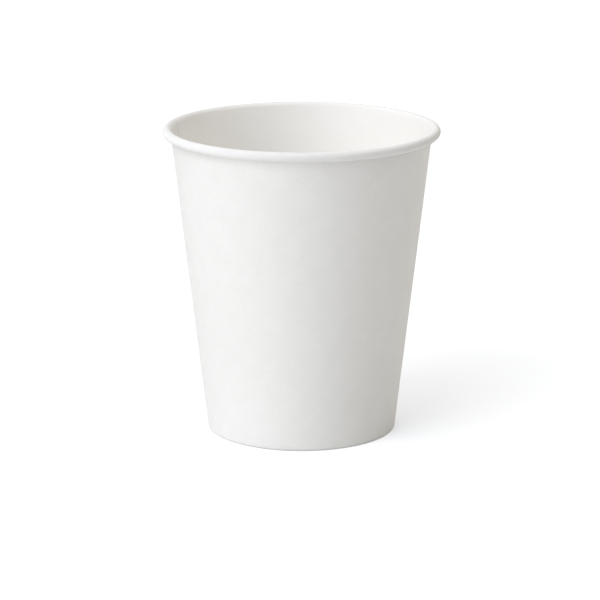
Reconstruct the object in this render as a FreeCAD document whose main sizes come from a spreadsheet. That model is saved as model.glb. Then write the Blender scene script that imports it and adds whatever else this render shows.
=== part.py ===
"""A single-wall paper coffee cup, as a FreeCAD document in millimetres.

The cup is two pieces of coated board. The sidewall is a fan-shaped blank wrapped to a cone, with a lapped
side seam, a rim rolled outward and a lower edge folded in and up as a hem. The bottom disc sits above the
table, and its turned-down flange is sealed between the wall and the hem.

The origin is on the cup's axis at the table, and +Z is up. Each section is drawn in the XZ plane, with the
radius along X, and turned about the Z axis.
"""

import FreeCAD
import Part
import Sketcher

import math
import os

# Driving sizes, in millimetres and degrees
SIZES = {
    "rim_diameter": 80.0,  # outside of the rolled rim
    "base_diameter": 54.9,  # outside of the wall, carried down to the table
    "cup_height": 89.2,  # table to the top of the rim
    "board_thickness": 0.35,  # coated board of the sidewall
    "roll_diameter": 2.7,  # outside of the rim's roll
    "tuck_gap": 0.1,  # from the roll's inside to its tucked edge
    "fold_inner_radius": 0.05,  # inside radius of the fold at the foot
    "hem_height": 6.0,  # table to the top of the hem
    "disc_thickness": 0.3,  # lighter board of the bottom
    "disc_height": 7.6,  # table to the underside of the bottom
    "disc_inner_radius": 0.4,  # inside radius where the disc turns down
    "seal_gap": 0.02,  # coating between the faces that are sealed
    "seam_lap": 7.0,  # width of the overlap in the side seam
    "seam_angle": 160.0,  # where the seam stands, about Z from +X
}

START, END, CENTER = 1, 2, 3  # point positions on a sketch's edge
X_AXIS, Y_AXIS = -1, -2  # a sketch's own axes
UP = FreeCAD.Vector(0, 0, 1)

# Half angle of the wall's cone: its outside face runs from the base diameter up to the inside of the roll
ROLL_OFFSET = "(sizes.rim_diameter - sizes.roll_diameter - sizes.base_diameter) / 2"
ROLL_RISE = "(sizes.cup_height - sizes.roll_diameter / 2)"
ROLL_INSIDE = "(sizes.roll_diameter / 2 - sizes.board_thickness)"
WALL_ANGLE = (
    f"(atan({ROLL_OFFSET} / {ROLL_RISE})"
    f" - asin({ROLL_INSIDE} / hypot({ROLL_OFFSET}; {ROLL_RISE})))"
)


def wall_angle():
    """The same half angle in radians, for the first position of a sketch's edges."""
    offset = (SIZES["rim_diameter"] - SIZES["roll_diameter"] - SIZES["base_diameter"]) / 2
    rise = SIZES["cup_height"] - SIZES["roll_diameter"] / 2
    inside = SIZES["roll_diameter"] / 2 - SIZES["board_thickness"]
    return math.atan2(offset, rise) - math.asin(inside / math.hypot(offset, rise))


def wall_point(height, depth):
    """The point at a height, at a depth under the wall's outside face."""
    angle = wall_angle()
    radius = SIZES["base_diameter"] / 2 + height * math.tan(angle) - depth / math.cos(angle)
    return FreeCAD.Vector(radius, height, 0)


def on_circle(center, radius, angle):
    """The point of a circle at an angle in radians."""
    return center + FreeCAD.Vector(radius * math.cos(angle), radius * math.sin(angle), 0)


class Section:
    """A closed outline on the XZ plane of one body, whose sizes are bound to the sheet."""

    def __init__(self, body, name):
        self.sketch = body.newObject("Sketcher::SketchObject", name)
        plane = next(f for f in body.Origin.OriginFeatures if f.Role == "XZ_Plane")
        self.sketch.AttachmentSupport = (plane, [""])
        self.sketch.MapMode = "FlatFace"

    def line(self, start, end):
        return self.sketch.addGeometry(Part.LineSegment(start, end), False)

    def arc(self, center, radius, start, end):
        circle = Part.Circle(center, UP, radius)
        return self.sketch.addGeometry(Part.ArcOfCircle(circle, start, end), False)

    def guide_point(self, point):
        return self.sketch.addGeometry(Part.Point(point), True)

    def rule(self, kind, *where):
        return self.sketch.addConstraint(Sketcher.Constraint(kind, *where))

    def size(self, kind, *where, value, formula):
        """A dimension that starts at a value and follows a formula of the sheet."""
        index = self.rule(kind, *where, value)
        self.sketch.setExpression(f"Constraints[{index}]", formula)


def make_sheet(doc):
    """The spreadsheet that holds the driving sizes."""
    sheet = doc.addObject("Spreadsheet::Sheet", "sizes")
    for row, (name, value) in enumerate(SIZES.items(), start=1):
        sheet.set(f"A{row}", name)
        sheet.set(f"B{row}", str(value))
        sheet.setAlias(f"B{row}", name)
    doc.recompute()


def turn(body, section, name):
    """The section turned once round the cup's axis."""
    solid = body.newObject("PartDesign::Revolution", name)
    solid.Profile = section.sketch
    solid.ReferenceAxis = (section.sketch, ["V_Axis"])
    solid.Angle = 360
    body.Tip = solid


def make_wall_sheet(doc):
    """The wrapped sheet in one section: wall, rolled rim, and the hem folded up inside the foot."""
    body = doc.addObject("PartDesign::Body", "wall_sheet")
    section = Section(body, "wall_section")
    board = SIZES["board_thickness"]
    angle = wall_angle()

    # The roll turns outward from the wall over the top, and its edge is tucked inside itself
    roll = SIZES["roll_diameter"] / 2
    tuck = roll - board - SIZES["tuck_gap"]
    roll_center = FreeCAD.Vector(SIZES["rim_diameter"] / 2 - roll, SIZES["cup_height"] - roll, 0)
    tuck_center = roll_center - FreeCAD.Vector(0, roll - tuck, 0)
    roll_outside = section.arc(roll_center, roll, -math.pi / 2, math.pi - angle)
    roll_inside = section.arc(roll_center, roll - board, -math.pi / 2, math.pi - angle)
    tuck_outside = section.arc(tuck_center, tuck, math.pi / 2, 3 * math.pi / 2)
    tuck_inside = section.arc(tuck_center, tuck - board, math.pi / 2, 3 * math.pi / 2)
    tucked_edge = section.line(
        on_circle(tuck_center, tuck, math.pi / 2),
        on_circle(tuck_center, tuck - board, math.pi / 2),
    )

    # The fold at the foot leaves a slot as wide as the flange of the bottom disc
    inner_fold = SIZES["fold_inner_radius"]
    fold = board + inner_fold
    slot = SIZES["disc_thickness"] + 2 * SIZES["seal_gap"]
    outer_center = wall_point(fold, fold)
    inner_center = wall_point(fold, 2 * board + slot - fold)
    foot_fold = section.arc(outer_center, fold, -math.pi / 2, -angle)
    foot_fold_inside = section.arc(outer_center, inner_fold, -math.pi / 2, -angle)
    hem_fold = section.arc(inner_center, fold, math.pi - angle, 3 * math.pi / 2)
    hem_fold_inside = section.arc(inner_center, inner_fold, math.pi - angle, 3 * math.pi / 2)
    foot_face = section.line(
        on_circle(inner_center, fold, -math.pi / 2),
        on_circle(outer_center, fold, -math.pi / 2),
    )
    slot_floor = section.line(
        on_circle(outer_center, inner_fold, -math.pi / 2),
        on_circle(inner_center, inner_fold, -math.pi / 2),
    )

    # The straight faces of the wall and of the hem
    outer_face = section.line(
        on_circle(outer_center, fold, -angle),
        on_circle(roll_center, roll - board, math.pi - angle),
    )
    inner_face = section.line(
        on_circle(roll_center, roll, math.pi - angle),
        on_circle(outer_center, inner_fold, -angle),
    )
    hem_top = wall_point(SIZES["hem_height"], board + slot)
    hem_top_inside = on_circle(hem_top, board, math.pi - angle)
    hem_outer_face = section.line(on_circle(inner_center, inner_fold, math.pi - angle), hem_top)
    hem_edge = section.line(hem_top, hem_top_inside)
    hem_inner_face = section.line(hem_top_inside, on_circle(inner_center, fold, math.pi - angle))

    section.rule("Tangent", outer_face, END, roll_inside, END)
    section.rule("Tangent", roll_inside, START, tuck_inside, END)
    section.rule("Coincident", tuck_inside, START, tucked_edge, END)
    section.rule("Coincident", tucked_edge, START, tuck_outside, START)
    section.rule("Tangent", tuck_outside, END, roll_outside, START)
    section.rule("Tangent", roll_outside, END, inner_face, START)
    section.rule("Tangent", inner_face, END, foot_fold_inside, END)
    section.rule("Tangent", foot_fold_inside, START, slot_floor, START)
    section.rule("Tangent", slot_floor, END, hem_fold_inside, END)
    section.rule("Tangent", hem_fold_inside, START, hem_outer_face, START)
    section.rule("Coincident", hem_outer_face, END, hem_edge, START)
    section.rule("Coincident", hem_edge, END, hem_inner_face, START)
    section.rule("Tangent", hem_inner_face, END, hem_fold, START)
    section.rule("Tangent", hem_fold, END, foot_face, START)
    section.rule("Tangent", foot_face, END, foot_fold, START)
    section.rule("Tangent", foot_fold, END, outer_face, START)

    section.rule("Coincident", roll_inside, CENTER, roll_outside, CENTER)
    section.rule("Coincident", tuck_inside, CENTER, tuck_outside, CENTER)
    section.rule("Coincident", foot_fold_inside, CENTER, foot_fold, CENTER)
    section.rule("Coincident", hem_fold_inside, CENTER, hem_fold, CENTER)
    section.rule("Vertical", roll_outside, CENTER, tuck_outside, CENTER)
    section.rule("Vertical", tuck_outside, CENTER, tucked_edge, START)
    section.rule("Vertical", tucked_edge)
    section.rule("Parallel", inner_face, outer_face)
    section.rule("Parallel", hem_outer_face, outer_face)
    section.rule("Parallel", hem_inner_face, outer_face)
    section.rule("Perpendicular", hem_edge, hem_outer_face)
    section.rule("Horizontal", slot_floor)
    section.rule("Horizontal", foot_face)
    section.rule("PointOnObject", foot_face, START, X_AXIS)
    section.rule("Equal", hem_fold, foot_fold)

    section.size(
        "Radius", roll_outside, value=roll, formula="sizes.roll_diameter / 2"
    )
    section.size(
        "Radius", roll_inside, value=roll - board, formula=ROLL_INSIDE
    )
    section.size(
        "DistanceX", roll_outside, CENTER, value=roll_center.x,
        formula="(sizes.rim_diameter - sizes.roll_diameter) / 2",
    )
    section.size(
        "DistanceY", roll_outside, CENTER, value=roll_center.y, formula=ROLL_RISE
    )
    section.size(
        "Radius", tuck_outside, value=tuck, formula=f"{ROLL_INSIDE} - sizes.tuck_gap"
    )
    section.size(
        "Radius", foot_fold, value=fold,
        formula="sizes.board_thickness + sizes.fold_inner_radius",
    )
    section.size(
        "Distance", hem_outer_face, START, inner_face, value=slot,
        formula="sizes.disc_thickness + 2 * sizes.seal_gap",
    )
    section.size(
        "DistanceY", hem_outer_face, END, value=hem_top.y, formula="sizes.hem_height"
    )
    foot_corner = section.guide_point(wall_point(0, 0))
    section.rule("PointOnObject", foot_corner, START, X_AXIS)
    section.rule("PointOnObject", foot_corner, START, outer_face)
    section.size(
        "DistanceX", foot_corner, START, value=SIZES["base_diameter"] / 2,
        formula="sizes.base_diameter / 2",
    )
    turn(body, section, "wall_turned")
    return body


def make_lap(doc):
    """The seam's outer layer: one more board on the wall, between the foot's fold and the roll."""
    bottom = "(sizes.board_thickness + sizes.fold_inner_radius)"
    top = "(sizes.cup_height - sizes.roll_diameter)"
    cones = []
    for name, depth in (
        ("lap_outside", "-sizes.board_thickness"),
        ("lap_inside", "sizes.board_thickness / 2"),
    ):
        cone = doc.addObject("Part::Cone", name)
        radius = "sizes.base_diameter / 2 + {0} * tan({1}) - ({2}) / cos({1})"
        cone.setExpression("Radius1", radius.format(bottom, WALL_ANGLE, depth))
        cone.setExpression("Radius2", radius.format(top, WALL_ANGLE, depth))
        cone.setExpression("Height", f"{top} - {bottom}")
        cone.setExpression("Placement.Base.z", bottom)
        cones.append(cone)
    band = doc.addObject("Part::Cut", "lap_band")
    band.Base, band.Tool = cones

    width = doc.addObject("Part::Box", "lap_width")
    width.setExpression("Length", "sizes.rim_diameter")
    width.setExpression("Width", "sizes.seam_lap")
    width.setExpression("Height", "sizes.cup_height")
    width.setExpression("Placement.Base.y", "-sizes.seam_lap / 2")

    lap = doc.addObject("Part::Common", "lap")
    lap.Base = band
    lap.Tool = width
    lap.setExpression("Placement.Rotation.Angle", "sizes.seam_angle")
    return lap


def make_sidewall(doc):
    """The whole sidewall, with its seam, as one solid."""
    sidewall = doc.addObject("Part::Fuse", "sidewall_sealed")
    sidewall.Base = make_wall_sheet(doc)
    sidewall.Tool = make_lap(doc)
    sidewall.Label = "sidewall"
    return sidewall


def make_bottom_disc(doc):
    """The bottom: a flat disc whose edge is turned down into the slot inside the foot."""
    body = doc.addObject("PartDesign::Body", "bottom")
    section = Section(body, "disc_section")
    board = SIZES["disc_thickness"]
    inner_radius = SIZES["disc_inner_radius"]
    outer_radius = board + inner_radius
    angle = wall_angle()
    depth = SIZES["board_thickness"] + SIZES["seal_gap"]
    top = SIZES["disc_height"] + board

    corner = wall_point(top - outer_radius, depth + outer_radius)
    turn_outside = section.arc(corner, outer_radius, -angle, math.pi / 2)
    turn_inside = section.arc(corner, inner_radius, -angle, math.pi / 2)
    foot = wall_point(depth + SIZES["fold_inner_radius"], depth)
    foot_inside = on_circle(foot, board, math.pi - angle)
    upper_face = section.line(
        on_circle(corner, outer_radius, math.pi / 2), FreeCAD.Vector(0, top, 0)
    )
    axis_edge = section.line(
        FreeCAD.Vector(0, top, 0), FreeCAD.Vector(0, SIZES["disc_height"], 0)
    )
    lower_face = section.line(
        FreeCAD.Vector(0, SIZES["disc_height"], 0), on_circle(corner, inner_radius, math.pi / 2)
    )
    flange_inside = section.line(on_circle(corner, inner_radius, -angle), foot_inside)
    flange_edge = section.line(foot_inside, foot)
    flange_outside = section.line(foot, on_circle(corner, outer_radius, -angle))

    section.rule("Tangent", turn_outside, END, upper_face, START)
    section.rule("Coincident", upper_face, END, axis_edge, START)
    section.rule("Coincident", axis_edge, END, lower_face, START)
    section.rule("Tangent", lower_face, END, turn_inside, END)
    section.rule("Tangent", turn_inside, START, flange_inside, START)
    section.rule("Coincident", flange_inside, END, flange_edge, START)
    section.rule("Coincident", flange_edge, END, flange_outside, START)
    section.rule("Tangent", flange_outside, END, turn_outside, START)
    section.rule("Coincident", turn_inside, CENTER, turn_outside, CENTER)
    section.rule("Horizontal", upper_face)
    section.rule("PointOnObject", axis_edge, START, Y_AXIS)
    section.rule("PointOnObject", axis_edge, END, Y_AXIS)
    section.rule("Horizontal", lower_face)
    section.rule("Perpendicular", flange_edge, flange_outside)
    section.rule("Parallel", flange_inside, flange_outside)

    section.size(
        "DistanceY", axis_edge, END, value=SIZES["disc_height"], formula="sizes.disc_height"
    )
    section.size(
        "Radius", turn_inside, value=inner_radius, formula="sizes.disc_inner_radius"
    )
    section.size(
        "Radius", turn_outside, value=outer_radius,
        formula="sizes.disc_inner_radius + sizes.disc_thickness",
    )

    # Two points fix the line that runs one sealed gap inside the wall's inner face
    inset = f"(sizes.board_thickness + sizes.seal_gap) / cos({WALL_ANGLE})"
    low = section.guide_point(wall_point(0, depth))
    high = section.guide_point(wall_point(SIZES["cup_height"], depth))
    section.rule("PointOnObject", low, START, X_AXIS)
    section.rule("PointOnObject", low, START, flange_outside)
    section.rule("PointOnObject", high, START, flange_outside)
    section.size(
        "DistanceX", low, START, value=wall_point(0, depth).x,
        formula=f"sizes.base_diameter / 2 - {inset}",
    )
    section.size(
        "DistanceY", high, START, value=SIZES["cup_height"], formula="sizes.cup_height"
    )
    section.size(
        "DistanceX", high, START, value=wall_point(SIZES["cup_height"], depth).x,
        formula=f"sizes.base_diameter / 2 + sizes.cup_height * tan({WALL_ANGLE}) - {inset}",
    )
    section.size(
        "DistanceY", flange_outside, START, value=foot.y,
        formula="sizes.board_thickness + sizes.fold_inner_radius + sizes.seal_gap",
    )
    turn(body, section, "disc_turned")
    body.Label = "bottom_disc"
    return body


def check(doc, parts):
    """Stops if any object failed, a sketch is loose, or a piece is not one valid solid."""
    for item in doc.Objects:
        if "Invalid" in item.State or "Error" in item.State:
            raise RuntimeError(f"{item.Name} failed: {item.State}")
        if item.TypeId == "Sketcher::SketchObject" and not item.FullyConstrained:
            raise RuntimeError(f"{item.Name} is not fully constrained")
    for part in parts:
        if part.Shape.isNull() or not part.Shape.isValid() or len(part.Shape.Solids) != 1:
            raise RuntimeError(f"{part.Label} is not one valid solid")


def main():
    doc = FreeCAD.newDocument("paper_cup")
    make_sheet(doc)
    parts = [make_sidewall(doc), make_bottom_disc(doc)]
    doc.recompute()
    check(doc, parts)
    os.makedirs("parts", exist_ok=True)
    for part in parts:
        part.Shape.exportStep(f"parts/{part.Label}.step")
        box = part.Shape.optimalBoundingBox(False, False)
        print(f"{part.Label}: {box.XLength:.2f} x {box.YLength:.2f} x {box.ZLength:.2f} mm,"
              f" {part.Shape.Volume:.1f} mm3")


main()
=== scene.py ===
# %% [markdown]
# # A paper coffee cup
# A single-wall paper cup is two pieces of coated board. One long blank is wrapped to a cone, lapped and
# sealed down its side, rolled outward at the rim and folded up at the foot. A round of lighter board is its
# bottom. The frame holds both at their real size. This file gives them the fine form and the finish of the
# real thing.

# %% Load the frame
import math

import bpy
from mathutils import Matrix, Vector


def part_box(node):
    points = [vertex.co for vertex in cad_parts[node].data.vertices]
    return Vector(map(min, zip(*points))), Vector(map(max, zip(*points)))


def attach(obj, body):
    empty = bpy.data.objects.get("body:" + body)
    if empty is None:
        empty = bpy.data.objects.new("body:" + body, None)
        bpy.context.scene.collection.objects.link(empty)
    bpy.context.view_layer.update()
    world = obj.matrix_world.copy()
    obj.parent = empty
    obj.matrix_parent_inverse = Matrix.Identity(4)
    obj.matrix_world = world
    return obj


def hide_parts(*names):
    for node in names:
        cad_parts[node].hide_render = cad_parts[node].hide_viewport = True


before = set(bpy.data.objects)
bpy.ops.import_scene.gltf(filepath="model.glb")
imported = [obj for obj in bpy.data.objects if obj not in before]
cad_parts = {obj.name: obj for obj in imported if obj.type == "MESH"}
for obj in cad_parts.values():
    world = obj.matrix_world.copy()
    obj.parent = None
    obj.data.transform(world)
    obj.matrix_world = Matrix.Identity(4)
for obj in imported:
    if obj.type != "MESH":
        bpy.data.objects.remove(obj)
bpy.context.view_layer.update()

# %% [markdown]
# ## Sizes
# The rim's radius, the height and the place of the bottom come from the frame, so the looks can't drift
# from it. What is too fine to be read off a box, such as the board, its fold and its seam, is named here.
# Metres are used all through, so a board of 0.35 mm is 0.35 times MM.

# %% Sizes
MM = 0.001
_, wall_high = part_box("sidewall")
_, disc_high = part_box("bottom_disc")
RIM_RADIUS = wall_high.x
CUP_HEIGHT = wall_high.z
DISC_TOP = disc_high.z
BASE_RADIUS = 27.45 * MM  # outside of the wall, carried down to the table
BOARD = 0.35 * MM
DISC_BOARD = 0.3 * MM
ROLL = 1.35 * MM  # outside radius of the rim's roll
TUCK_GAP = 0.1 * MM  # between the tucked edge and the roll round it
FOLD_INSIDE = 0.05 * MM  # inside radius of the fold at the foot
HEM_HEIGHT = 6.0 * MM
DISC_CORNER = 0.4 * MM  # inside radius where the disc turns down
DISC_SAG = 0.22 * MM
SEAL = 0.02 * MM  # the melted film that holds two boards together
SEAM_LAP = 7.0 * MM
SEAM_RAMP = 1.8 * MM  # over which one layer climbs onto the other
SEAM_ANGLE = math.radians(160)  # about the axis, from +X: at the back of the cup

rise = CUP_HEIGHT - ROLL
reach = RIM_RADIUS - ROLL - BASE_RADIUS
SLOPE = math.atan2(reach, rise) - math.asin((ROLL - BOARD) / math.hypot(reach, rise))
BLANK_APEX = BASE_RADIUS / math.sin(SLOPE)  # from the cone's point to the foot, along the wall
ROLL_STARTS = HEM_HEIGHT + 2 * BOARD + CUP_HEIGHT  # from the hem's edge to the roll, up the blank
print("the wall leans out", round(math.degrees(SLOPE), 2), "degrees")

# %% [markdown]
# ## Node trees written as Python
# Both the shape and the materials are node trees. Placing dozens of Math nodes by hand hides the idea, so
# one small class wraps a socket and lets Python's operators add the nodes. `1 - mask * 0.2` is then a
# formula that can be read, and it still builds the same nodes as a hand would. Every other node comes from
# one method, `make`.

# %% A socket that works with Python's operators
class Value:
    """One socket of a node tree. An operator adds a Math node, and make() adds any other node."""

    def __init__(self, tree, socket=None):
        self.tree = tree
        self.socket = socket

    def feed(self, slot, value):
        if isinstance(value, Value):
            self.tree.links.new(value.socket, slot)
        else:
            slot.default_value = value

    def make(self, kind, settings=None, inputs=None, output=0):
        """A node of a kind: its settings first, then its sockets' values or links. Gives one output."""
        node = self.tree.nodes.new(kind)
        for name, setting in (settings or {}).items():
            setattr(node, name, setting)
        for name, value in (inputs or {}).items():
            self.feed(node.inputs[name], value)
        return Value(self.tree, node.outputs[output] if node.outputs else None)

    def also(self, output):
        """Another output of the same node."""
        return Value(self.tree, self.socket.node.outputs[output])

    def math(self, operation, *values):
        return self.make("ShaderNodeMath", {"operation": operation}, dict(enumerate(values)))

    def __add__(self, other):
        return self.math("ADD", self, other)

    def __radd__(self, other):
        return self.math("ADD", other, self)

    def __sub__(self, other):
        return self.math("SUBTRACT", self, other)

    def __rsub__(self, other):
        return self.math("SUBTRACT", other, self)

    def __mul__(self, other):
        return self.math("MULTIPLY", self, other)

    def __rmul__(self, other):
        return self.math("MULTIPLY", other, self)

    def __truediv__(self, other):
        return self.math("DIVIDE", self, other)

    def __mod__(self, other):
        return self.math("MODULO", self, other)

    def limited(self):
        """Kept between 0 and 1."""
        return self.math("MAXIMUM", self.math("MINIMUM", self, 1.0), 0.0)

    def eased(self):
        """A value from 0 to 1, with a soft start and end."""
        return self * self * (3.0 - 2.0 * self)


# %% [markdown]
# ## Board finishes
# Cup board has three faces that look different. The outside is bare bleached board: matte, a touch warm,
# with fibres that lie along the sheet. The inside, which the roll turns out over the rim, has a thin
# plastic film: smoother and a little glossy. Where the board is cut, the raw fibre shows. Noise in space
# would be the quick way, but it cuts through the wall as if the cup were carved. So each pattern is laid on
# the flat blank through the UV map `Blank`, and the grain runs with the sheet as it does on the real cup.

# %% Shared parts of the finishes
FIBRES_WIDE = 3200.0  # fibres to the metre across the grain
FIBRES_LONG = 1100.0  # and along it
FLOCS = 1300.0  # small knots of fibre to the metre
CLOUDS = 230.0  # thick and thin patches of pulp to the metre
CLOUD_LENGTH = 0.7  # steps along the grain for one across it
FLOC_LENGTH = 0.8
WHITE_BOARD = (0.908, 0.904, 0.891, 1.0)
SHADED_BOARD = (0.862, 0.857, 0.84, 1.0)
WHITE_FILM = (0.972, 0.962, 0.942, 1.0)
SHADED_FILM = (0.94, 0.929, 0.904, 1.0)
PALE_ROLL_WITH_PAINTED_SHADE = (0.877, 0.874, 0.87, 1.0)  # painted shade: the film made greyer over the roll, standing in for the roll's shade
GREY_ROLL_WITH_PAINTED_SHADE = (0.849, 0.846, 0.84, 1.0)
RAW_EDGE = (0.76, 0.735, 0.68, 1.0)
RAW_SHADE = (0.62, 0.585, 0.52, 1.0)


def start_material(name):
    """A new material, with its shader and the handle for adding nodes."""
    material = bpy.data.materials.new(name)
    material.use_nodes = True
    shader = material.node_tree.nodes["Principled BSDF"]
    return material, shader, Value(material.node_tree)


def on_the_blank(tree, across, along):
    """Coordinates on the flat blank, with so many steps to the metre each way."""
    flat = tree.make("ShaderNodeUVMap", {"uv_map": "Blank"})
    place = {"Vector": flat, "Scale": (across, along, 1.0)}
    return tree.make("ShaderNodeMapping", {"vector_type": "POINT"}, place)


def grain(tree, across, along, detail, roughness=0.55):
    """Noise laid on the blank, from 0 to 1 and mostly near a half."""
    where = on_the_blank(tree, across, along)
    sizes = {"Vector": where, "Scale": 1.0, "Detail": detail, "Roughness": roughness}
    return tree.make("ShaderNodeTexNoise", {"noise_dimensions": "2D"}, sizes)


def blend(tree, amount, first, second):
    """A colour between two, by an amount from 0 to 1. The node's slots 6 and 7 hold colours."""
    return tree.make("ShaderNodeMix", {"data_type": "RGBA"}, {0: amount, 6: first, 7: second}, 2)


def split(tree, vector):
    """A vector's three parts."""
    parts = tree.make("ShaderNodeSeparateXYZ", None, {"Vector": vector})
    return parts, parts.also("Y"), parts.also("Z")


def bumped(tree, height, depth, strength):
    """A normal from a height, whose full range is so deep in metres."""
    sizes = {"Height": height, "Distance": depth, "Strength": strength}
    return tree.make("ShaderNodeBump", None, sizes)


print("fibres to the millimetre:", FIBRES_WIDE * MM, "across the grain and", FIBRES_LONG * MM, "along it")

# %% [markdown]
# ### Bare board
# Pulp settles unevenly, so board held to light has clouds a few millimetres across. On the surface they are
# a change of tone of one or two parts in a hundred, and the eye still reads them as paper. Knots of fibre
# and the fibres themselves give the bump and a slight change of roughness, and a few faint specks are
# darker fibre. The foot is painted grey for its last fraction of a millimetre above the table: that is
# painted shade, where the fold meets the table. It could be a fourth material, but it has no edge of its
# own, so it is faded in by height above the table.

# %% Bare board
SPECKS_WIDE = 900.0  # steps to the metre of the noise that the specks are cut from
SPECKS_LONG = 520.0
SPECKS_ABOVE = 0.74  # only the peaks of that noise are specks
SPECK_EDGE = 9.0
SPECK_SHARE = 0.06
BOARD_RELIEF = 0.03 * MM
# painted shade: the grey that the foot is given just above the table
FOOT_PAINTED_SHADE = (0.67, 0.66, 0.645, 1.0)
FOOT_SHADE_REACH = 0.8 * MM  # how far above the table the painted shade at the foot reaches


def make_bare_board():
    material, shader, tree = start_material("bare_board")
    clouds = grain(tree, CLOUDS, CLOUDS * CLOUD_LENGTH, detail=4.0)
    flocs = grain(tree, FLOCS, FLOCS * FLOC_LENGTH, detail=2.0)
    fibres = grain(tree, FIBRES_WIDE, FIBRES_LONG, detail=3.0, roughness=0.7)
    specks = grain(tree, SPECKS_WIDE, SPECKS_LONG, detail=1.0)
    tone = ((clouds - 0.5) * 0.9 + (flocs - 0.5) * 0.9 + (fibres - 0.5) * 0.5 + 0.4).limited()
    speck = ((specks - SPECKS_ABOVE) * SPECK_EDGE).limited()
    colour = blend(tree, tone, WHITE_BOARD, SHADED_BOARD)
    colour = blend(tree, speck * SPECK_SHARE, colour, RAW_SHADE)
    _, _, height = split(tree, tree.make("ShaderNodeTexCoord", output="Object"))
    # painted shade where the foot meets the table, darkest at the bottom
    foot_shade = (1.0 - height / FOOT_SHADE_REACH).limited().eased()
    tree.feed(shader.inputs["Base Color"], blend(tree, foot_shade, colour, FOOT_PAINTED_SHADE))
    tree.feed(shader.inputs["Roughness"], 0.78 + fibres * 0.14 + clouds * 0.06)
    relief = flocs * 0.55 + fibres * 0.45
    tree.feed(shader.inputs["Normal"], bumped(tree, relief, BOARD_RELIEF, strength=0.35))
    shader.inputs["Specular IOR Level"].default_value = 0.2
    return material


bare_board = make_bare_board()
print(bare_board.name, "has", len(bare_board.node_tree.nodes), "nodes")

# %% [markdown]
# ### Coated board
# The film is cast on hot, so it fills the fibres and leaves a soft, slightly dimpled skin. That is a lower
# roughness, a broader and shallower bump, and a light clear coat over the white. Where the curl stretches
# it over the roll, the film turns duller. The roll is also painted a little greyer than the inside: that is
# painted shade, standing in for the shade that the roll shows. That could be a second material, but the
# change has no edge on the real cup, so it is faded in along the blank: the length of `Blank` is the
# distance from the point of the cone, and it says how far up the sheet a spot lies.

# %% Coated board
DIMPLES_WIDE = 1500.0
DIMPLES_LONG = 900.0
FILM_RELIEF = 0.02 * MM
FILM_COAT = 0.06
ROLL_FADE = 2.0 * MM  # way up the blank over which the film changes
ROLL_DULLER = 0.4  # added to the film's roughness on the roll


def make_coated_board():
    material, shader, tree = start_material("coated_board")
    clouds = grain(tree, CLOUDS, CLOUDS * CLOUD_LENGTH, detail=4.0)
    dimples = grain(tree, DIMPLES_WIDE, DIMPLES_LONG, detail=2.0)
    fibres = grain(tree, FIBRES_WIDE, FIBRES_LONG, detail=2.0)
    tone = ((clouds - 0.5) * 1.1 + (dimples - 0.5) * 1.3 + (fibres - 0.5) * 0.4 + 0.4).limited()
    flat = on_the_blank(tree, 1.0, 1.0)
    up_blank = tree.make("ShaderNodeVectorMath", {"operation": "LENGTH"}, {0: flat}, "Value") - BLANK_APEX
    rolled = ((up_blank - ROLL_STARTS) / ROLL_FADE).limited()
    inside = blend(tree, tone, WHITE_FILM, SHADED_FILM)
    # painted shade: over the roll the film takes the greyer roll colours
    colour = blend(tree, rolled, inside, blend(tree, tone, PALE_ROLL_WITH_PAINTED_SHADE, GREY_ROLL_WITH_PAINTED_SHADE))
    tree.feed(shader.inputs["Base Color"], colour)
    tree.feed(shader.inputs["Roughness"], 0.36 + dimples * 0.1 + clouds * 0.06 + rolled * ROLL_DULLER)
    tree.feed(shader.inputs["Coat Weight"], FILM_COAT * (1.0 - rolled))
    relief = dimples * 0.75 + fibres * 0.25
    tree.feed(shader.inputs["Normal"], bumped(tree, relief, FILM_RELIEF, strength=0.22))
    shader.inputs["Specular IOR Level"].default_value = 0.4
    shader.inputs["Coat Roughness"].default_value = 0.3
    return material


coated_board = make_coated_board()
print(coated_board.name, "has", len(coated_board.node_tree.nodes), "nodes")

# %% [markdown]
# ### Cut edge
# The blank is die-cut, and its edge is never coated. It shows torn fibre, rougher and more yellow than the
# faces, because nothing there was pressed smooth or filled. At a third of a millimetre it is seldom seen,
# so one fine noise gives the colour, the roughness and the bump together.

# %% Cut edge
EDGE_FIBRES = 8000.0  # to the metre
EDGE_RELIEF = 0.05 * MM


def make_cut_edge():
    material, shader, tree = start_material("cut_edge")
    plies = grain(tree, EDGE_FIBRES, EDGE_FIBRES, detail=4.0, roughness=0.8)
    tree.feed(shader.inputs["Base Color"], blend(tree, plies, RAW_EDGE, RAW_SHADE))
    tree.feed(shader.inputs["Roughness"], 0.85 + plies * 0.1)
    tree.feed(shader.inputs["Normal"], bumped(tree, plies, EDGE_RELIEF, strength=0.6))
    shader.inputs["Specular IOR Level"].default_value = 0.25
    return material


cut_edge = make_cut_edge()
print(cut_edge.name, "has", len(cut_edge.node_tree.nodes), "nodes")

# %% [markdown]
# ## Drawing a section
# Cut the cup down its middle and each wall is a thin line of board with a story: a roll, a long straight
# and a fold. The middle line of the board could be drawn and given its thickness by a Solidify modifier,
# but the curl and the fold are tighter than it can follow. So the whole outline of the board is drawn, from
# straight and round stretches. Each point also carries what the wrapping needs to know: which face of the
# board it is on, which way the board's other face lies, and how far the seam and the foot's pressed ribs
# reach there.

# %% A section's outline
BARE, COATED, CUT = range(3)  # the three faces of the board
QUARTER = math.pi / 2
LEAN = math.pi - SLOPE  # the way from the wall's outside face to its inside
OUTWARD = Vector((math.cos(SLOPE), -math.sin(SLOPE)))
DOWNWARD = Vector((0.0, -1.0))


def between(ends, part):
    """A number so far on the way from the first of two to the second."""
    return ends[0] + (ends[1] - ends[0]) * part


def on_circle(center, radius, angle):
    """A point of a circle, as radius and height."""
    return center + radius * Vector((math.cos(angle), math.sin(angle)))


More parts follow.
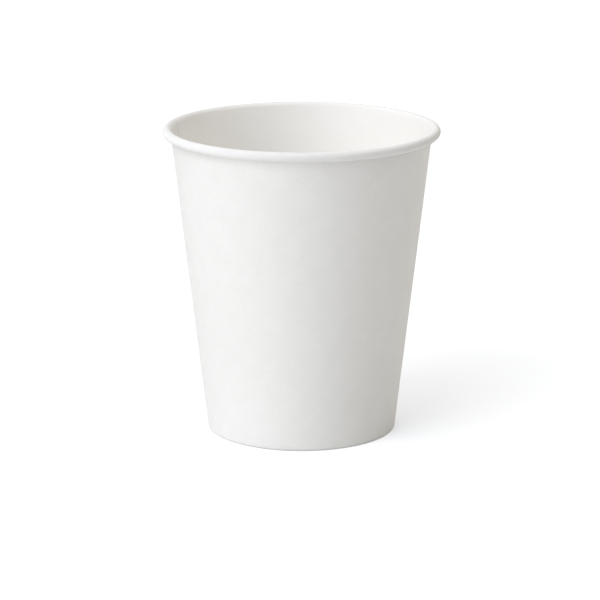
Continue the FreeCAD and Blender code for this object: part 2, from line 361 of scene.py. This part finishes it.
class Outline:
    """The closed edge of a board's section, as points of radius and height with notes on each."""

    def __init__(self):
        self.points = []
        self.push = []  # the way from the coated to the bare face
        self.shares = []  # 1 on the bare face, share of the seam's step, share of the pressed ribs
        self.finish = []
        self.along = []  # how far up the blank, in metres

    def add(self, point, push, finish, along, bare, seam, ribs):
        self.points.append(point)
        self.push.append(push)
        self.finish.append(finish)
        self.along.append(along)
        self.shares.append((bare, seam, ribs))

    def line(self, start, end, steps, finish, push, along, seam=1.0, ribs=0.0):
        """A straight stretch without its last point, which the next stretch starts with."""
        for step in range(steps):
            part = step / steps
            rib = ribs * math.sin(math.pi * part) ** 0.5  # deepest in the middle, none at the ends
            self.add(start.lerp(end, part), push, finish, between(along, part),
                     float(finish == BARE), seam, rib)

    def arc(self, center, radius, first, last, steps, finish, inward, along, seam=(1.0, 1.0)):
        """A round stretch. inward says that the bare face lies towards its centre."""
        for step in range(steps):
            part = step / steps
            way = on_circle(Vector((0.0, 0.0)), 1.0, between((first, last), part))
            self.add(center + way * radius, -way if inward else way, finish,
                     between(along, part), float(finish == BARE), between(seam, part), 0.0)


def wall_point(height, depth):
    """The point at a height, at a depth under the wall's outside face."""
    return Vector((BASE_RADIUS + height * math.tan(SLOPE) - depth / math.cos(SLOPE), height))


half_way = wall_point(CUP_HEIGHT / 2, 0.0)
print("half way up, the wall's outside is", round(half_way.x / MM, 2), "mm from the axis")

# %% [markdown]
# ### The sidewall's section
# One sheet, followed all the way round: up the bare outside face, inside the roll to its tucked edge, back
# over the coated face of the roll, down the inside, under the flange's slot and up the hem. A solid ring
# would look the same from outside, but the curling tool leaves the roll hollow with its edge tucked in, and
# so does this.

# %% The sidewall's section
def sidewall_outline():
    roll_center = Vector((RIM_RADIUS - ROLL, CUP_HEIGHT - ROLL))
    tuck = ROLL - BOARD - TUCK_GAP
    tuck_center = roll_center - Vector((0.0, ROLL - tuck))
    fold = BOARD + FOLD_INSIDE
    slot = DISC_BOARD + 2 * SEAL
    outer = wall_point(fold, fold)
    inner = wall_point(fold, 2 * BOARD + slot - fold)
    hem_top = wall_point(HEM_HEIGHT, BOARD + slot)
    hem_inside = on_circle(hem_top, BOARD, LEAN)

    # How far up the blank each landmark lies, from the edge of the hem to the tucked edge of the roll
    folded = HEM_HEIGHT
    straight = folded + 2 * BOARD
    curled = ROLL_STARTS
    tucked = curled + 2 * math.pi * ROLL

    path = Outline()
    path.arc(outer, fold, -QUARTER, -SLOPE, 6, BARE, False, (folded, straight), seam=(0.0, 1.0))
    path.line(on_circle(outer, fold, -SLOPE), on_circle(roll_center, ROLL - BOARD, LEAN), 32,
              BARE, OUTWARD, (straight, curled))
    path.arc(roll_center, ROLL - BOARD, LEAN, -QUARTER, 8, BARE, True, (curled, tucked), seam=(1.0, 0.2))
    path.arc(tuck_center, tuck - BOARD, 3 * QUARTER, QUARTER, 5, BARE, True, (tucked, tucked),
             seam=(0.1, 0.1))
    path.line(on_circle(tuck_center, tuck - BOARD, QUARTER), on_circle(tuck_center, tuck, QUARTER), 1,
              CUT, OUTWARD, (tucked, tucked), seam=0.0)
    path.arc(tuck_center, tuck, QUARTER, 3 * QUARTER, 8, COATED, True, (tucked, tucked), seam=(0.1, 0.1))
    path.arc(roll_center, ROLL, -QUARTER, LEAN, 30, COATED, True, (tucked, curled), seam=(0.4, 1.0))
    path.line(on_circle(roll_center, ROLL, LEAN), on_circle(outer, FOLD_INSIDE, -SLOPE), 30,
              COATED, OUTWARD, (curled, straight))
    path.arc(outer, FOLD_INSIDE, -SLOPE, -QUARTER, 2, COATED, False, (straight, folded), seam=(0.0, 0.0))
    path.line(on_circle(outer, FOLD_INSIDE, -QUARTER), on_circle(inner, FOLD_INSIDE, -QUARTER), 1,
              COATED, DOWNWARD, (folded, folded), seam=0.0)
    path.arc(inner, FOLD_INSIDE, 3 * QUARTER, LEAN, 2, COATED, False, (folded, folded), seam=(0.0, 0.0))
    path.line(on_circle(inner, FOLD_INSIDE, LEAN), hem_top, 4, COATED, -OUTWARD, (folded, 0.0), seam=0.0)
    path.line(hem_top, hem_inside, 1, CUT, -OUTWARD, (0.0, 0.0), seam=0.0)
    path.line(hem_inside, on_circle(inner, fold, LEAN), 12, BARE, -OUTWARD, (0.0, folded), ribs=1.0)
    path.arc(inner, fold, LEAN, 3 * QUARTER, 5, BARE, False, (folded, folded), seam=(1.0, 0.0))
    path.line(on_circle(inner, fold, -QUARTER), on_circle(outer, fold, -QUARTER), 1,
              BARE, DOWNWARD, (folded, folded), seam=0.0)
    return path


wall_section = sidewall_outline()
print("the sidewall's section has", len(wall_section.points), "points")


# %% [markdown]
# ### The bottom's section
# The bottom is a round punched from lighter board. Its coated face is up, towards the drink, and its edge
# is drawn down into the slot of the fold. Board that is held only at its edge bows a little. A flat round
# would be simpler, but the sag of a fraction of a millimetre gives its face the slight change of tone that
# board has.

# %% The bottom's section
def disc_outline():
    outer_radius = DISC_BOARD + DISC_CORNER
    depth = BOARD + SEAL
    corner = wall_point(DISC_TOP - outer_radius, depth + outer_radius)
    foot = wall_point(depth + FOLD_INSIDE, depth)
    foot_inside = on_circle(foot, DISC_BOARD, LEAN)
    top_edge = on_circle(corner, outer_radius, QUARTER)
    low_edge = on_circle(corner, DISC_CORNER, QUARTER)
    flat = corner.x
    turned = flat + outer_radius
    flange_end = turned + corner.y - foot.y

    path = Outline()
    path.line(Vector((0.0, low_edge.y)), low_edge, 14, BARE, DOWNWARD, (0.0, flat))
    path.arc(corner, DISC_CORNER, QUARTER, -SLOPE, 6, BARE, True, (flat, turned))
    path.line(on_circle(corner, DISC_CORNER, -SLOPE), foot_inside, 4, BARE, -OUTWARD,
              (turned, flange_end))
    path.line(foot_inside, foot, 1, CUT, -OUTWARD, (flange_end, flange_end))
    path.line(foot, on_circle(corner, outer_radius, -SLOPE), 4, COATED, -OUTWARD,
              (flange_end, turned))
    path.arc(corner, outer_radius, -SLOPE, QUARTER, 9, COATED, True, (turned, flat))
    path.line(top_edge, Vector((0.0, top_edge.y)), 14, COATED, DOWNWARD, (flat, 0.0))
    path.add(Vector((0.0, top_edge.y)), DOWNWARD, COATED, 0.0, 0.0, 0.0, 0.0)
    for index, point in enumerate(path.points):
        if point.x < flat:
            bow = DISC_SAG * (1 - (point.x / flat) ** 2) ** 2
            path.points[index] = Vector((point.x, point.y - bow))
    return path


bottom_section = disc_outline()
print("the bottom's section has", len(bottom_section.points), "points")


# %% [markdown]
# ## Wrapping the section round the axis
# A cup is its section carried once round an axis, which is a rule, so Geometry Nodes make it. A lathe alone
# would lose the seam, the very thing that says this is wrapped board and not turned plastic. So the tree
# lays a grid with one row for each point of the section and places each column itself. First come the
# columns where the outer layer climbs onto the inner one, then the lap, then the rest of the way round. Two
# columns that stand in one place make a cut edge with a sharp step.
#
# The machine presses the hot seam nearly flat. So the step is half a board outside and a fifth of one
# inside, where the cut edge is sunk in the film and shows as one faint line.

# %% Inputs of the wrapping tree
# In the order of BARE, COATED and CUT, because the tree counts on it
FINISHES = {"Bare board": bare_board, "Coated board": coated_board, "Cut edge": cut_edge}
WRAP_INPUTS = {
    "Section": "NodeSocketGeometry",
    "Columns round": "NodeSocketInt",
    "Columns in lap": "NodeSocketInt",
    "Columns in ramp": "NodeSocketInt",
    "Seam angle": "NodeSocketFloat",
    "Lap width": "NodeSocketFloat",
    "Ramp width": "NodeSocketFloat",
    "Step": "NodeSocketFloat",
    "Inner step": "NodeSocketFloat",
    "Roll bulge": "NodeSocketFloat",
    "Ribs": "NodeSocketInt",
    "Rib depth": "NodeSocketFloat",
    "Unevenness": "NodeSocketFloat",
    "Slope": "NodeSocketFloat",
    "Blank apex": "NodeSocketFloat",
    "Seed": "NodeSocketFloat",
    **dict.fromkeys(FINISHES, "NodeSocketMaterial"),
}


def start_wrap_tree():
    """An empty Geometry Nodes tree with its named inputs, and its handle."""
    group = bpy.data.node_groups.new("wrap_section", "GeometryNodeTree")
    for name, kind in WRAP_INPUTS.items():
        group.interface.new_socket(name, in_out="INPUT", socket_type=kind)
    group.interface.new_socket("Geometry", in_out="OUTPUT", socket_type="NodeSocketGeometry")
    tree = Value(group)
    given = tree.make("NodeGroupInput")
    return group, tree, {name: given.also(name) for name in WRAP_INPUTS}


print("the tree takes", len(WRAP_INPUTS), "inputs")

# %% [markdown]
# ### Reading the section
# The section comes in as bare points. Each vertex of the grid asks for what is stored at its own row, with
# a Sample Index node. A curve and its profile would need no such reading, but they can't change along the
# way.

# %% Reading the section row by row
def sampled(tree, given, name, kind, row):
    """A note that the section carries, read at a row of the grid."""
    if name == "position":
        note = tree.make("GeometryNodeInputPosition")
    else:
        note = tree.make("GeometryNodeInputNamedAttribute", {"data_type": kind}, {"Name": name})
    inputs = {"Geometry": given["Section"], "Value": note, "Index": row}
    return tree.make("GeometryNodeSampleIndex", {"data_type": kind, "domain": "POINT"}, inputs)


# %% [markdown]
# ### Where each column stands
# The lap is as wide at the foot as at the rim, because it is the edge of one flat sheet laid on another. So
# its width is a length round the wall, and the angle that it takes up grows as the cup narrows.

# %% Where each column stands
def place_columns(tree, given, index, rows):
    """How far each column is through the ramp, the lap and the rest, each from 0 to 1."""
    column = tree.math("FLOOR", index / (rows + 1))
    after_ramp = column - given["Columns in ramp"] - 1
    after_lap = after_ramp - given["Columns in lap"] - 1
    ramp = (column / given["Columns in ramp"]).limited()
    lap = (after_ramp / given["Columns in lap"]).limited()
    rest = (after_lap / given["Columns round"]).limited()
    on_ramp = tree.math("LESS_THAN", after_ramp, -0.5)  # whole numbers, so any limit between two will do
    on_lap = tree.math("LESS_THAN", after_lap, -0.5)
    return ramp, lap, rest, on_ramp, on_lap


def turned_to(tree, given, radius, ramp, lap, rest):
    """The angle of a column about the axis, measured from the middle of the seam."""
    taken = given["Lap width"] + given["Ramp width"]
    arc = given["Lap width"] * (0.5 - lap) + given["Ramp width"] * (1.0 - ramp)
    return arc / radius - (2 * math.pi - taken / radius) * rest


lap_turns = [round(math.degrees(SEAM_LAP / radius), 1) for radius in (BASE_RADIUS, RIM_RADIUS)]
print("the lap takes up", lap_turns, "degrees at the foot and at the rim")

# %% [markdown]
# ### Where each vertex goes
# A vertex starts from its row of the section, turned about the axis. It is pushed across the board where
# the seam lifts it, where the roll bulges over the double layer, where the ribs are pressed into the hem
# and where the board is a hair out of true. All this could be sculpted, but as a rule it still fits when
# a size of the cup changes.

# %% Where each vertex goes
DRIFT_SIZE = 2.6  # scale of the slow noise that puts the board out of true


def place_vertices(tree, given, index, row, rows):
    """Where each vertex stands, and how far it is turned from the middle of the seam."""
    radius, _, height = split(tree, sampled(tree, given, "position", "FLOAT_VECTOR", row))
    push_out, _, push_up = split(tree, sampled(tree, given, "push", "FLOAT_VECTOR", row))
    bare, seam, ribbed = split(tree, sampled(tree, given, "shares", "FLOAT_VECTOR", row))
    ramp, lap, rest, on_ramp, on_lap = place_columns(tree, given, index, rows)
    angle = turned_to(tree, given, radius, ramp, lap, rest)
    turned = angle + given["Seam angle"]

    # The step of the seam, the swelling of the roll over it, and the ribs in the hem
    climb = ramp.eased() * seam
    lifted = climb * (given["Step"] * bare * on_lap + given["Inner step"] * (1.0 - bare) * on_ramp)
    swelling = given["Roll bulge"] * lap * (1.0 - lap) * 4.0 * (1.0 - bare)  # 4 makes its middle 1
    in_roll = tree.math("GREATER_THAN", height, CUP_HEIGHT - 2 * ROLL)
    rib_wave = 0.5 - 0.5 * tree.math("COSINE", turned * given["Ribs"])
    pressed = given["Rib depth"] * ribbed * rib_wave
    across = lifted - pressed
    sideways = across - swelling * in_roll

    # Board is never quite true: a slow drift that only ever falls inside the true circle
    spot = tree.make("ShaderNodeCombineXYZ", None, {
        "X": tree.math("COSINE", turned), "Y": tree.math("SINE", turned), "Z": height / RIM_RADIUS,
    })
    drift = tree.make("ShaderNodeTexNoise", {"noise_dimensions": "4D"}, {
        "Vector": spot, "W": given["Seed"], "Scale": DRIFT_SIZE, "Detail": 1.0,
    })
    true_radius = radius + push_out * sideways - given["Unevenness"] * drift
    standing = tree.math("MAXIMUM", height + push_up * across, 0.0)  # the table presses the foot flat
    position = tree.make("ShaderNodeCombineXYZ", None, {
        "X": true_radius * tree.math("COSINE", turned),
        "Y": true_radius * tree.math("SINE", turned),
        "Z": standing,
    })
    return position, angle


print("the board drifts in waves of about", round(RIM_RADIUS / DRIFT_SIZE / MM), "mm")

# %% [markdown]
# ### Where it lies on the flat blank
# The finishes ask where on the flat sheet each spot was before it was wrapped. A cone unrolls to part of a
# ring about its apex, and a disc to itself. An unwrap by hand would need a cut at the seam and would stretch
# the map here and there, while this follows the way that the sheet was rolled up.

# %% Where it lies on the flat blank
def place_on_blank(tree, given, row, angle):
    """Each vertex's place on the flat blank, in metres from the point of the cone."""
    spread = angle * tree.math("SINE", given["Slope"])
    out = sampled(tree, given, "along", "FLOAT", row) + given["Blank apex"]
    flat = tree.make("ShaderNodeCombineXYZ", None, {
        "X": out * tree.math("SINE", spread), "Y": out * tree.math("COSINE", spread),
    })
    return tree.make(
        "GeometryNodeFieldOnDomain", {"data_type": "FLOAT_VECTOR", "domain": "POINT"}, {"Value": flat}
    )


print("the foot of the blank is an arc of radius", round(BLANK_APEX / MM), "mm")

# %% [markdown]
# ### The whole tree
# The grid gets its map, its finishes and its places. The ends of the wrap then meet and are merged, so the
# shell is closed. Two things are put right after that: the merge leaves a stray edge on the axis of the
# bottom, and the grid's faces look inward until they are flipped.

# %% The whole tree
JOIN_WITHIN = 0.001 * MM


def make_wrap_tree():
    group, tree, given = start_wrap_tree()
    rows = tree.make(
        "GeometryNodeAttributeDomainSize", {"component": "MESH"},
        {"Geometry": given["Section"]}, "Point Count",
    )
    columns = given["Columns in ramp"] + given["Columns in lap"] + given["Columns round"] + 3
    grid = tree.make("GeometryNodeMeshGrid", None, {"Vertices X": columns, "Vertices Y": rows + 1})
    index = tree.make("GeometryNodeInputIndex")
    row = (index % (rows + 1)) % rows
    position, angle = place_vertices(tree, given, index, row, rows)
    flat = place_on_blank(tree, given, row, angle)

    shape = tree.make(
        "GeometryNodeStoreNamedAttribute", {"data_type": "FLOAT2", "domain": "CORNER"},
        {"Geometry": grid, "Name": "Blank", "Value": flat},
    )
    finish = sampled(tree, given, "finish", "INT", index % rows)
    shape = tree.make(
        "GeometryNodeStoreNamedAttribute", {"data_type": "INT", "domain": "FACE"},
        {"Geometry": shape, "Name": "finish", "Value": finish},
    )
    shape = tree.make("GeometryNodeSetPosition", None, {"Geometry": shape, "Position": position})
    shape = tree.make("GeometryNodeMergeByDistance", None, {"Geometry": shape, "Distance": JOIN_WITHIN})
    faces_beside = tree.make("GeometryNodeInputMeshEdgeNeighbors")
    on_the_axis = tree.math("LESS_THAN", faces_beside, 0.5)  # the stray edge has no face beside it
    shape = tree.make("GeometryNodeDeleteGeometry", {"domain": "EDGE", "mode": "EDGE_FACE"},
                      {"Geometry": shape, "Selection": on_the_axis})
    shape = tree.make("GeometryNodeFlipFaces", None, {"Mesh": shape})
    stored = tree.make("GeometryNodeInputNamedAttribute", {"data_type": "INT"}, {"Name": "finish"})
    for number, name in enumerate(FINISHES):
        chosen = tree.make("FunctionNodeCompare", {"data_type": "INT", "operation": "EQUAL"},
                           {2: stored, 3: number})  # slots 2 and 3 hold the whole numbers
        shape = tree.make("GeometryNodeSetMaterial", None,
                          {"Geometry": shape, "Selection": chosen, "Material": given[name]})
    tree.make("NodeGroupOutput", None, {"Geometry": shape})
    return group


wrap_tree = make_wrap_tree()
print("the wrapping tree has", len(wrap_tree.nodes), "nodes")

# %% [markdown]
# ## From tree to mesh
# The section goes in as a mesh of bare points, with its notes as attributes. The modifier's result is then
# turned to a plain mesh and the modifier comes off, so that what is kept is only geometry. Corners over 35
# degrees stay crisp, and everything rounder is shaded smooth.

# %% From tree to mesh
SHARP_CORNER = math.radians(35)


def section_mesh(name, path):
    """The outline as a mesh of points, with what the tree reads stored on each."""
    mesh = bpy.data.meshes.new(name)
    mesh.from_pydata([(p.x, 0.0, p.y) for p in path.points], [], [])
    notes = {
        "push": ("FLOAT_VECTOR", "vector", [v for p in path.push for v in (p.x, 0.0, p.y)]),
        "shares": ("FLOAT_VECTOR", "vector", [v for share in path.shares for v in share]),
        "finish": ("INT", "value", path.finish),
        "along": ("FLOAT", "value", path.along),
    }
    for note, (kind, field, values) in notes.items():
        mesh.attributes.new(note, kind, "POINT").data.foreach_set(field, values)
    return mesh


def wrap(name, path, sizes):
    """A piece made by carrying a section round the axis, with the tree's inputs by name."""
    piece = bpy.data.objects.new(name, section_mesh(name, path))
    bpy.context.scene.collection.objects.link(piece)
    modifier = piece.modifiers.new("wrap", "NODES")
    modifier.node_group = wrap_tree
    slots = {item.name: item.identifier for item in wrap_tree.interface.items_tree if item.in_out == "INPUT"}
    for title, value in {**sizes, **FINISHES}.items():
        modifier[slots[title]] = value
    ready = piece.evaluated_get(bpy.context.evaluated_depsgraph_get())
    mesh = bpy.data.meshes.new_from_object(ready)
    piece.modifiers.clear()
    piece.data = mesh
    mesh.attributes.remove(mesh.attributes["finish"])
    mesh.materials.pop(index=0)  # the grid's own empty slot
    mesh.shade_smooth()
    mesh.set_sharp_from_angle(angle=SHARP_CORNER)
    print(name, "has", len(mesh.vertices), "points and", len(mesh.polygons), "faces")
    return piece


# %% [markdown]
# ## The sidewall
# The curl, the seam and the hem are all in this one piece, as they are in the real blank. Modelled apart
# they would be easier, but the sheet would stop at each join. The ribs in the hem come from the wheel that
# presses it onto the flange, and show only from below.

# %% The sidewall
sidewall = wrap("cup_sidewall", wall_section, {
    "Columns round": 540,
    "Columns in lap": 14,
    "Columns in ramp": 6,
    "Seam angle": SEAM_ANGLE,
    "Lap width": SEAM_LAP,
    "Ramp width": SEAM_RAMP,
    "Step": BOARD * 0.5,
    "Inner step": BOARD * 0.2,
    "Roll bulge": 0.1 * MM,
    "Ribs": 90,
    "Rib depth": 0.12 * MM,
    "Unevenness": 0.05 * MM,
    "Slope": SLOPE,
    "Blank apex": BLANK_APEX,
    "Seed": 4.0,
})
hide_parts("sidewall")
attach(sidewall, "root")

# %% [markdown]
# ## The bottom
# The same tree makes the bottom, with no lap and no ribs. Its section starts and ends on the axis, and
# there all the columns run together in one point. Only its flat face shows, deep in the cup, and its bare
# underside when the cup is turned over.

# %% The bottom
bottom = wrap("cup_bottom", bottom_section, {
    "Columns round": 240,
    "Columns in lap": 1,
    "Columns in ramp": 1,
    "Seam angle": SEAM_ANGLE,
    "Lap width": 0.0,
    "Ramp width": 0.0,
    "Step": 0.0,
    "Inner step": 0.0,
    "Roll bulge": 0.0,
    "Ribs": 0,
    "Rib depth": 0.0,
    "Unevenness": 0.0,
    "Slope": math.pi / 2,
    "Blank apex": 0.0,
    "Seed": 9.0,
})
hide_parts("bottom_disc")
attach(bottom, "root")

# %% [markdown]
# ## Floor
# The cup stands on a plain white sweep. To the camera the floor is lifted to paper white wherever light
# reaches it, and only the cup's own soft shadow stays. The lift grows away from the cup, because the lamps
# are weaker there. Other rays see an ordinary pale floor, so it bounces a natural amount of light back onto
# the cup.

# %% Floor
FLOOR_HALF = 1.6
FLOOR_COLOUR = (0.9, 0.9, 0.892, 1.0)
FLOOR_SEEN = (0.76, 0.76, 0.76, 1.0)  # darker under the lift, so that the two together come to white
FLOOR_GLOW = (0.965, 1.0, 1.05, 1.0)  # a little cool, because the lamp that fills the shadow is warm
FLOOR_LIFT = 0.457
FADE_STARTS = 0.3  # distance from the cup at which the lift begins to grow
FADE_WIDE = 0.6


def make_floor():
    mesh = bpy.data.meshes.new("floor")
    corners = [(x * FLOOR_HALF, y * FLOOR_HALF, 0.0) for x, y in ((-1, -1), (1, -1), (1, 1), (-1, 1))]
    mesh.from_pydata(corners, [], [(0, 1, 2, 3)])
    floor = bpy.data.objects.new("floor", mesh)
    bpy.context.scene.collection.objects.link(floor)
    material = bpy.data.materials.new("floor_sweep")
    material.use_nodes = True
    material.node_tree.nodes.clear()
    tree = Value(material.node_tree)
    seen = tree.make("ShaderNodeLightPath")
    seen = tree.math("MAXIMUM", seen, seen.also("Is Glossy Ray"))
    colour = blend(tree, seen, FLOOR_COLOUR, FLOOR_SEEN)
    pale = tree.make("ShaderNodeBsdfDiffuse", None, {"Color": colour})
    place = tree.make("ShaderNodeTexCoord", output="Object")
    away = tree.make("ShaderNodeVectorMath", {"operation": "LENGTH"}, {0: place}, "Value")
    far = ((away - FADE_STARTS) / FADE_WIDE).limited().eased()
    strength = seen * (FLOOR_LIFT + far * (1.0 - FLOOR_LIFT))
    lift = tree.make("ShaderNodeEmission", None, {"Color": FLOOR_GLOW, "Strength": strength})
    both = tree.make("ShaderNodeAddShader", None, {0: pale, 1: lift})
    tree.make("ShaderNodeOutputMaterial", None, {"Surface": both})
    mesh.materials.append(material)


make_floor()
print("the floor is", 2 * FLOOR_HALF, "m wide")

# %% [markdown]
# ## Light
# A large soft key stands in front on the left, so the wall is bright on its left and turns slowly grey to
# the right. It is low enough to throw the shadow away across the floor. A weaker lamp high on the left
# gives the band of shadow under the roll. One on the right and one behind light the inside and the far
# edges. The world adds only a little, and looks white where the camera sees it.

# %% Light
FILL = 0.008  # what the world gives to the cup
PAPER_WHITE = (1.0, 1.0, 1.0, 1.0)
LAMPS = {  # turn about the cup from the camera, height over it in degrees, size, power in watts, colour
    "key": (-40.0, 30.0, 1.6, 17.1, (0.985, 1.0, 1.025)),
    "high": (-70.0, 62.0, 1.6, 10.7, (0.985, 1.0, 1.03)),
    "right": (98.0, 36.0, 1.4, 9.3, (1.0, 0.955, 0.87)),
    "behind": (-150.0, 55.0, 1.2, 6.7, (1.0, 0.94, 0.9)),
}
LAMP_REACH = 1.6  # from the cup's middle to each lamp


def make_lamp(name, turn, up, size, power, colour):
    """A round softbox that looks at the cup's middle."""
    lamp = bpy.data.lights.new(name, "AREA")
    lamp.shape = "DISK"
    lamp.size = size
    lamp.energy = power
    lamp.color = colour
    turn = math.radians(turn)
    up = math.radians(up)
    way = Vector((math.sin(turn) * math.cos(up), -math.cos(turn) * math.cos(up), math.sin(up)))
    holder = bpy.data.objects.new(name, lamp)
    bpy.context.scene.collection.objects.link(holder)
    holder.location = Vector((0.0, 0.0, CUP_HEIGHT / 2)) + way * LAMP_REACH
    holder.rotation_euler = way.to_track_quat("Z", "Y").to_euler()


def make_world():
    world = bpy.data.worlds.new("studio")
    world.use_nodes = True
    world.node_tree.nodes.clear()
    tree = Value(world.node_tree)
    path = tree.make("ShaderNodeLightPath")
    seen = tree.math("MAXIMUM", path, tree.math("MAXIMUM", path.also("Is Glossy Ray"),
                                                path.also("Is Transmission Ray")))
    strength = FILL + seen * (1.0 - FILL)
    light = tree.make("ShaderNodeBackground", None, {"Color": PAPER_WHITE, "Strength": strength})
    tree.make("ShaderNodeOutputWorld", None, {"Surface": light})
    bpy.context.scene.world = world


for name, lamp in LAMPS.items():
    make_lamp(name, *lamp)
make_world()
print("lamps:", list(LAMPS), "and a fill of", FILL)

# %% [markdown]
# ## Camera
# The camera stands 0.8 m in front of the cup and looks down 14.5 degrees through a long lens. From there
# the far and the near side of the rim are nearly the same size, and its ellipse is flat. A wide lens close
# by would give the same height of cup, but a rim that swells towards the eye. Place, pitch and lens were
# found together, from where the rim, the foot and the two sides of the cup should stand in the picture.

# %% Camera
CAMERA_PLACE = (-0.000405, -0.80198, 0.2443)
CAMERA_PITCH = math.radians(14.455)
CAMERA_LENS = 170.4
SENSOR_WIDTH = 36.0


def make_camera():
    data = bpy.data.cameras.new("camera")
    data.lens = CAMERA_LENS
    data.sensor_width = SENSOR_WIDTH
    data.clip_start = 0.01
    data.clip_end = 50.0
    camera = bpy.data.objects.new("camera", data)
    camera.location = CAMERA_PLACE
    camera.rotation_euler = (math.pi / 2 - CAMERA_PITCH, 0.0, 0.0)
    bpy.context.scene.collection.objects.link(camera)
    bpy.context.scene.camera = camera


make_camera()
bpy.context.scene.view_settings.view_transform = "Standard"
print("the camera sees", round(math.degrees(2 * math.atan(SENSOR_WIDTH / 2 / CAMERA_LENS)), 1), "degrees")
